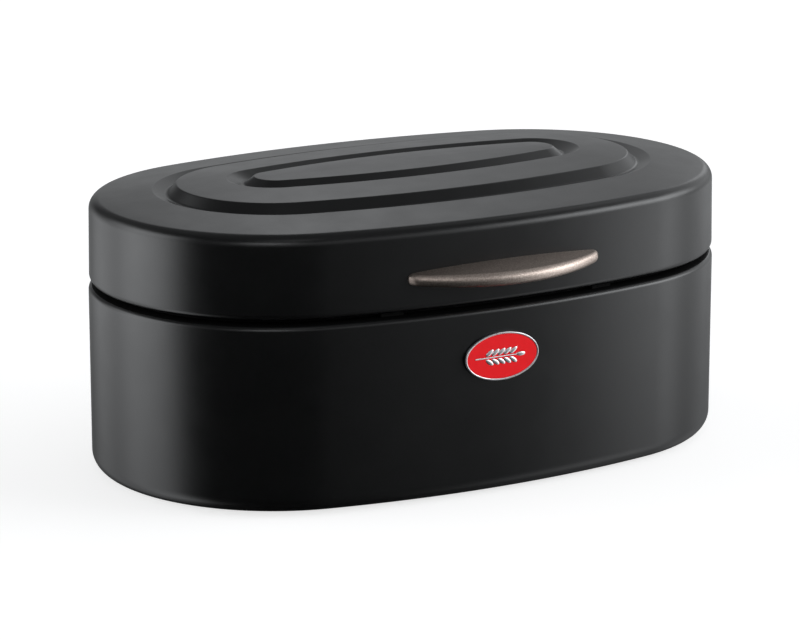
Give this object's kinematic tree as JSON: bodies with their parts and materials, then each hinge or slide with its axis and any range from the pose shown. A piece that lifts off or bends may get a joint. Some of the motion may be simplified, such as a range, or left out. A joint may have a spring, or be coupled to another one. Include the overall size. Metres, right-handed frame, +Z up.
{
  "type": "bread bin",
  "caption": "Oval sheet-steel bread bin with a stepped lid that swings up on a rear hinge, a crescent handle and rubber feet.",
  "frame": {"origin": "middle of the footprint of the whole object, handle and hinge included, on the surface that the rubber feet stand on", "axes": "+X along the oval's long side, +Y from the handle towards the rear hinge, +Z up"},
  "size_m": [0.342, 0.2286, 0.1518],
  "materials": {
    "powder_coat": "satin black powder coat with a fine grain",
    "satin_nickel": "satin nickel, fine bead-blasted grain",
    "badge_metal": "satin plated metal",
    "enamel": "glossy red enamel",
    "zinc_steel": "zinc plated, satin",
    "rubber": "matte black rubber"
  },
  "bodies": {
    "body": {"body_shell": "powder_coat", "foot_front_left": "rubber", "foot_front_right": "rubber", "foot_rear_left": "rubber", "foot_rear_right": "rubber", "buffer_front_left": "rubber", "buffer_front_right": "rubber", "buffer_rear_left": "rubber", "buffer_rear_right": "rubber", "badge_frame": "badge_metal", "badge_inlay": "enamel", "badge_nut_left": "zinc_steel", "badge_nut_right": "zinc_steel", "hinge_body_leaf": "zinc_steel", "hinge_pin": "zinc_steel", "rivet_body_left": "zinc_steel", "rivet_body_right": "zinc_steel"},
    "lid": {"lid_shell": "powder_coat", "handle": "satin_nickel", "handle_screw_left": "zinc_steel", "handle_screw_right": "zinc_steel", "handle_washer_left": "zinc_steel", "handle_washer_right": "zinc_steel", "hinge_lid_leaf": "zinc_steel", "rivet_lid_left": "zinc_steel", "rivet_lid_right": "zinc_steel"}
  },
  "joints": [
    {"name": "lid_hinge", "type": "hinge", "parent": "body", "child": "lid", "pos_m": [0, 0.1098, 0.09845], "axis": [-1, 0, 0], "range_deg": [0, 100]}
  ]
}
